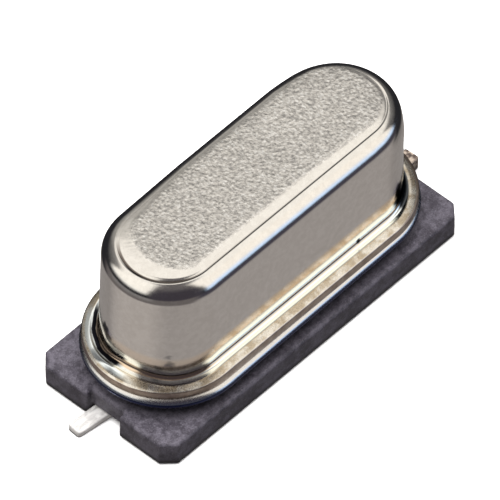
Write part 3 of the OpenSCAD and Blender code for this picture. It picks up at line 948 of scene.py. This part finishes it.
inner = {
    "glass_seal_left": ("glass_seal", seal_material), "clip_left": ("clip", clip_material),
    "quartz_blank": ("quartz", quartz_material), "electrode_top": ("electrode", silver_material),
    "adhesive_left": ("adhesive", adhesive_material),
}
made = {}
for node, (slot, maker) in inner.items():
    made[slot] = maker()
for node, slot in (("glass_seal_left", "glass_seal"), ("glass_seal_right", "glass_seal"), ("clip_left", "clip"),
                   ("clip_right", "clip"), ("quartz_blank", "quartz"), ("electrode_top", "electrode"),
                   ("electrode_bottom", "electrode"), ("adhesive_left", "adhesive"), ("adhesive_right", "adhesive")):
    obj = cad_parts[node]
    for i in range(max(1, len(obj.material_slots))):
        if obj.material_slots:
            obj.material_slots[i].material = made[slot]
        else:
            obj.data.materials.append(made[slot])


# ---------------------------------------------------------------- floor ----
floor_mesh = bpy.data.meshes.new("floor")
floor_mesh.from_pydata([(-1.5, -1.5, 0), (1.5, -1.5, 0), (1.5, 1.5, 0), (-1.5, 1.5, 0)], [], [(0, 1, 2, 3)])
floor = bpy.data.objects.new("floor", floor_mesh)
floor.location = (0, 0, -0.00001)
bpy.context.scene.collection.objects.link(floor)
fm = bpy.data.materials.new("pale_floor")
fm.use_nodes = True
fm.node_tree.nodes.clear()
g = Graph(fm.node_tree)
out = g.node("ShaderNodeOutputMaterial")
add = g.node("ShaderNodeAddShader")
dif = g.node("ShaderNodeBsdfDiffuse")
emi = g.node("ShaderNodeEmission")
dif.inputs["Color"].default_value = (0.86, 0.86, 0.86, 1)
emi.inputs["Color"].default_value = (1, 1, 1, 1)
emi.inputs["Strength"].default_value = 0.0
g.put(add.inputs[0], dif.outputs[0])
g.put(add.inputs[1], emi.outputs[0])
g.put(out.inputs[0], add.outputs[0])
floor_mesh.materials.append(fm)
# the floor throws no light back on the part, so that the plate's sides stay dark
floor.visible_glossy = False
floor.visible_diffuse = False


# ---------------------------------------------------------------- light ----
def studio_world():
    """A light tent as a soft sky: two tall side softboxes, an open top, a dark gap where the camera stands, a dark
    far side, and a sheet of grey paper below."""
    w = bpy.data.worlds.new("studio")
    bpy.context.scene.world = w
    w.use_nodes = True
    w.node_tree.nodes.clear()
    g = Graph(w.node_tree)
    out = g.node("ShaderNodeOutputWorld")
    bg = g.node("ShaderNodeBackground")
    tc = g.node("ShaderNodeTexCoord")
    d = g.vmath("NORMALIZE", tc.outputs["Generated"])
    sep = g.node("ShaderNodeSeparateXYZ")
    g.put(sep.inputs[0], d)
    x, y, z = sep.outputs
    deg = 180 / math.pi
    el = g.math("MULTIPLY", g.math("ARCSINE", z), deg)

    def part(azimuth):
        """Component of the direction along a level azimuth."""
        c = math.radians(azimuth)
        return g.math("ADD", g.math("MULTIPLY", x, math.cos(c)), g.math("MULTIPLY", y, math.sin(c)))

    def rel(centre):
        """Absolute angle in degrees from the azimuth centre."""
        return g.math("ABSOLUTE", g.math("MULTIPLY", g.math("ARCTAN2", part(centre + 90), part(centre)), deg))

    def window(centre, half, soft, lo, soft_lo):
        a = g.ramp(rel(centre), half - soft, half + soft, 1.0, 0.0)
        return g.math("MULTIPLY", a, g.ramp(el, lo - soft_lo, lo + soft_lo))

    # far side: black at the horizon, brightening into the open top
    col = g.mix(g.ramp(el, 14, 45, smooth=False), (0.022, 0.022, 0.026, 1), (0.22, 0.215, 0.21, 1))
    glow = g.math("MULTIPLY", window(60, 17, 9, 22, 9), g.ramp(el, 46, 56, 1.0, 0.0))
    col = g.mix(glow, col, (0.36, 0.35, 0.33, 1))
    turn = g.math("MULTIPLY", window(92, 20, 8, 30, 5), 6.0)
    col = g.mix(g.ramp(g.math("SUBTRACT", el, turn), 42.8, 53.2), col, (1.17, 1.13, 1.06, 1))
    # softboxes
    right = g.mix(g.ramp(el, 5, 32), (0.74, 0.98, 1.36, 1), (1.19, 1.13, 1.04, 1))
    col = g.mix(window(-54, 24, 4, 3, 7), col, right)
    left = g.mix(g.ramp(el, 5, 40), (1.05, 1.05, 1.02, 1), (1.22, 1.18, 1.10, 1))
    col = g.mix(window(154, 35, 5, 17, 11), col, left)
    # gap where the camera stands: wide at the horizon, narrow over the top
    c, p = part(-138.5), part(-48.5)
    fwd = g.math("MAXIMUM", c, 0.0)
    p_right = g.math("MULTIPLY_ADD", fwd, 0.90, 0.25)
    p_left = g.math("MULTIPLY_ADD", fwd, -0.38, -0.12)
    gap = g.math("MULTIPLY", g.ramp(g.math("SUBTRACT", p, p_right), -0.06, 0.06, 1.0, 0.0),
                 g.ramp(g.math("SUBTRACT", p, p_left), -0.06, 0.06))
    gap = g.math("MULTIPLY", gap, g.ramp(c, -0.38, -0.26))
    dark = g.mix(g.ramp(el, 45, 75), (0.052, 0.046, 0.058, 1), (0.13, 0.12, 0.125, 1))
    col = g.mix(gap, col, dark)
    # paper below: dark far off, grey near the part
    near = g.mix(g.ramp(el, -47, -34), (0.375, 0.350, 0.338, 1), (0.155, 0.140, 0.140, 1))
    side = g.mix(g.ramp(el, -34, -17), (0.375, 0.350, 0.338, 1), (0.06, 0.055, 0.075, 1))  # under the right softbox
    far = g.mix(g.ramp(el, -46, -32), (0.30, 0.28, 0.27, 1), (0.022, 0.022, 0.026, 1))
    table = g.mix(g.ramp(rel(-60), 24, 44), side, near)
    table = g.mix(g.math("MULTIPLY", g.ramp(rel(165), 62, 20), g.ramp(el, -36, -46)), table, (0.480, 0.445, 0.425, 1))
    table = g.mix(g.ramp(rel(41), 80, 62), table, far)
    table = g.mix(g.math("MULTIPLY", g.ramp(rel(165), 42, 26), g.ramp(el, -30, -10)), table, (0.24, 0.23, 0.23, 1))
    col = g.mix(g.ramp(el, -7, 0, 1.0, 0.0), col, table)
    # seen directly, the surroundings are plain white
    lp = g.node("ShaderNodeLightPath")
    col = g.mix(lp.outputs["Is Camera Ray"], col, (1.0, 1.0, 1.0, 1))
    g.put(bg.inputs["Color"], col)
    bg.inputs["Strength"].default_value = 1.0
    g.put(out.inputs["Surface"], bg.outputs[0])


studio_world()


def soft_light(name, where, size, power, colour):
    """A large soft lamp that lights the dull parts and the floor, and isn't mirrored in the metal."""
    d = bpy.data.lights.new(name, "AREA")
    d.shape = "DISK"
    d.size = size
    d.energy = power
    d.color = colour
    o = bpy.data.objects.new(name, d)
    o.location = where
    o.rotation_euler = (-Vector(where)).to_track_quat("-Z", "Y").to_euler()
    o.visible_glossy = False
    o.visible_camera = False
    bpy.context.scene.collection.objects.link(o)
    return o


soft_light("top_softbox", (-0.03, 0.01, 0.25), 0.34, 2.0, (1.0, 0.99, 0.99))

# --------------------------------------------------------------- camera ----
AZ, EL, ROLL = math.radians(-48.493), math.radians(49.23), math.radians(1.138)
DIST, CX, CY = 521.5549, 0.011, -1.3515
right = Vector((math.cos(AZ), math.sin(AZ), 0))
back = Vector((math.sin(AZ) * math.cos(EL), -math.cos(AZ) * math.cos(EL), math.sin(EL)))
up = back.cross(right)
right2 = right * math.cos(ROLL) + up * math.sin(ROLL)
up2 = up * math.cos(ROLL) - right * math.sin(ROLL)
eye = Vector((0, 0, PLATE_Z0)) - right2 * CX - up2 * CY + back * DIST
cam_data = bpy.data.cameras.new("camera")
cam_data.sensor_width = 36.0
cam_data.lens = 1440.0
cam_data.clip_start = 0.05
cam_data.clip_end = 20.0
camera = bpy.data.objects.new("camera", cam_data)
camera.matrix_world = Matrix((
    (right2.x, up2.x, back.x, eye.x * MM),
    (right2.y, up2.y, back.y, eye.y * MM),
    (right2.z, up2.z, back.z, eye.z * MM),
    (0, 0, 0, 1)))
bpy.context.scene.collection.objects.link(camera)
bpy.context.scene.camera = camera

bpy.context.scene.view_settings.view_transform = "Standard"
bpy.context.scene.view_settings.look = "None"
